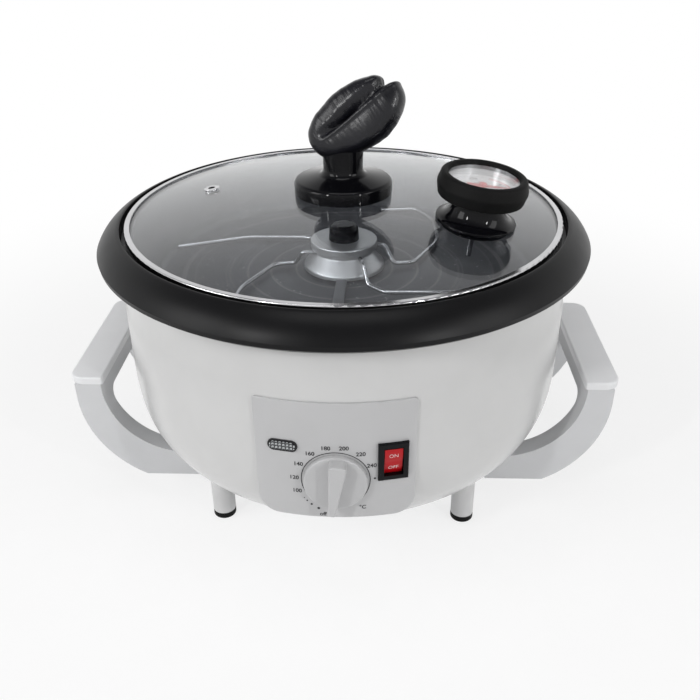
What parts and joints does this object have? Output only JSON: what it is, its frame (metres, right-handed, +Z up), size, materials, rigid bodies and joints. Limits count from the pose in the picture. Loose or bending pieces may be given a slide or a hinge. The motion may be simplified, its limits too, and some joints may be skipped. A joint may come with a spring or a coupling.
{
  "type": "coffee bean roaster",
  "caption": "Countertop coffee bean roaster: round bowl with heated pan and turning wire stirrer, lift-off glass lid with dial thermometer and bean knob, side handles, control panel.",
  "frame": {"origin": "on the table under the middle of the bowl", "axes": "+Z up, the control panel faces -Y, +X to the right seen from the panel's side"},
  "size_m": [0.3308, 0.2902, 0.2568],
  "materials": {
    "shell_white": "white gloss enamel on pressed steel",
    "collar_black": "satin black heat-proof moulding",
    "plated_steel": "dull zinc-plated steel",
    "pan_coating": "dark grey non-stick coating",
    "heater_steel": "heat-darkened steel sheath",
    "motor_case": "grey lacquered can",
    "bronze": "sintered bronze",
    "panel_grey": "fine-grained light grey moulding",
    "switch_black": "black moulding",
    "lamp_clear": "clear",
    "gland_black": "black moulding",
    "handle_grey": "light grey moulding",
    "grip_grey": "pale grey moulding, smooth",
    "stirrer_steel": "bright drawn stainless steel",
    "hub_steel": "turned stainless steel",
    "blade_grey": "worn flat steel strip",
    "lid_glass": "clear tempered glass",
    "lid_steel": "polished stainless steel",
    "knob_black": "glossy black moulding",
    "soft_rubber": "black rubber",
    "dial_silver": "silver-white printed dial",
    "pointer_red": "red lacquer",
    "rocker_red": "glossy red moulding",
    "foot_white": "white moulding"
  },
  "bodies": {
    "base": {"outer_shell": "shell_white", "rim_collar": "collar_black", "base_plate": "plated_steel", "base_screws": "plated_steel", "bracket_screws": "plated_steel", "roasting_pan": "pan_coating", "heating_element": "heater_steel", "heat_shield": "plated_steel", "gear_motor": "motor_case", "motor_bracket": "plated_steel", "shaft_bushing": "bronze", "handle_screws": "plated_steel", "control_panel": "panel_grey", "thermostat_body": "plated_steel", "switch_housing": "switch_black", "lamp_housing": "switch_black", "lamp_lens": "lamp_clear", "cord_gland": "gland_black", "right_handle": "handle_grey", "left_handle": "handle_grey", "right_grip_plate": "grip_grey", "left_grip_plate": "grip_grey", "foot_front_left": "foot_white", "foot_front_right": "foot_white", "foot_rear_left": "foot_white", "foot_rear_right": "foot_white", "foot_pad_front_left": "soft_rubber", "foot_pad_front_right": "soft_rubber", "foot_pad_rear_left": "soft_rubber", "foot_pad_rear_right": "soft_rubber"},
    "stirrer": {"drive_shaft": "stirrer_steel", "stirrer_hub": "hub_steel", "hub_nut": "collar_black", "scraper_blade": "blade_grey", "long_wire_right": "stirrer_steel", "long_wire_left": "stirrer_steel", "hook_wire_right": "stirrer_steel", "hook_wire_left": "stirrer_steel"},
    "lid": {"lid_glass": "lid_glass", "lid_band": "lid_steel", "vent_grommet": "lid_steel", "knob_base": "knob_black", "bean_grip": "knob_black", "knob_washer": "soft_rubber", "knob_screw": "plated_steel", "thermo_mount": "knob_black", "thermo_case": "lid_steel", "thermo_bezel": "soft_rubber", "thermo_lens": "lamp_clear", "thermo_dial": "dial_silver", "thermo_stem": "lid_steel", "thermo_nut": "switch_black"},
    "pointer": {"thermo_pointer": "pointer_red"},
    "knob": {"thermostat_knob": "panel_grey", "thermostat_shaft": "plated_steel"},
    "rocker": {"switch_rocker": "rocker_red"}
  },
  "joints": [
    {"name": "stirrer_spin", "type": "hinge", "parent": "base", "child": "stirrer", "pos_m": [0, 0, 0.12], "axis": [0, 0, 1], "continuous": true},
    {"name": "lid_lift", "type": "slide", "parent": "base", "child": "lid", "axis": [0, 0, 1], "range_m": [0, 0.19]},
    {"name": "thermostat_turn", "type": "hinge", "parent": "base", "child": "knob", "pos_m": [0, -0.14, 0.082], "axis": [0, 1, 0], "range_deg": [0, 255]},
    {"name": "rocker_tip", "type": "hinge", "parent": "base", "child": "rocker", "pos_m": [0.02891, -0.1289, 0.0932], "axis": [0.9758, 0.2188, 0], "range_deg": [-16, 0]},
    {"name": "pointer_turn", "type": "hinge", "parent": "lid", "child": "pointer", "pos_m": [0.07471, -0.03405, 0.18561], "axis": [0.119, -0.0542, 0.9914], "range_deg": [-270, 0]}
  ]
}
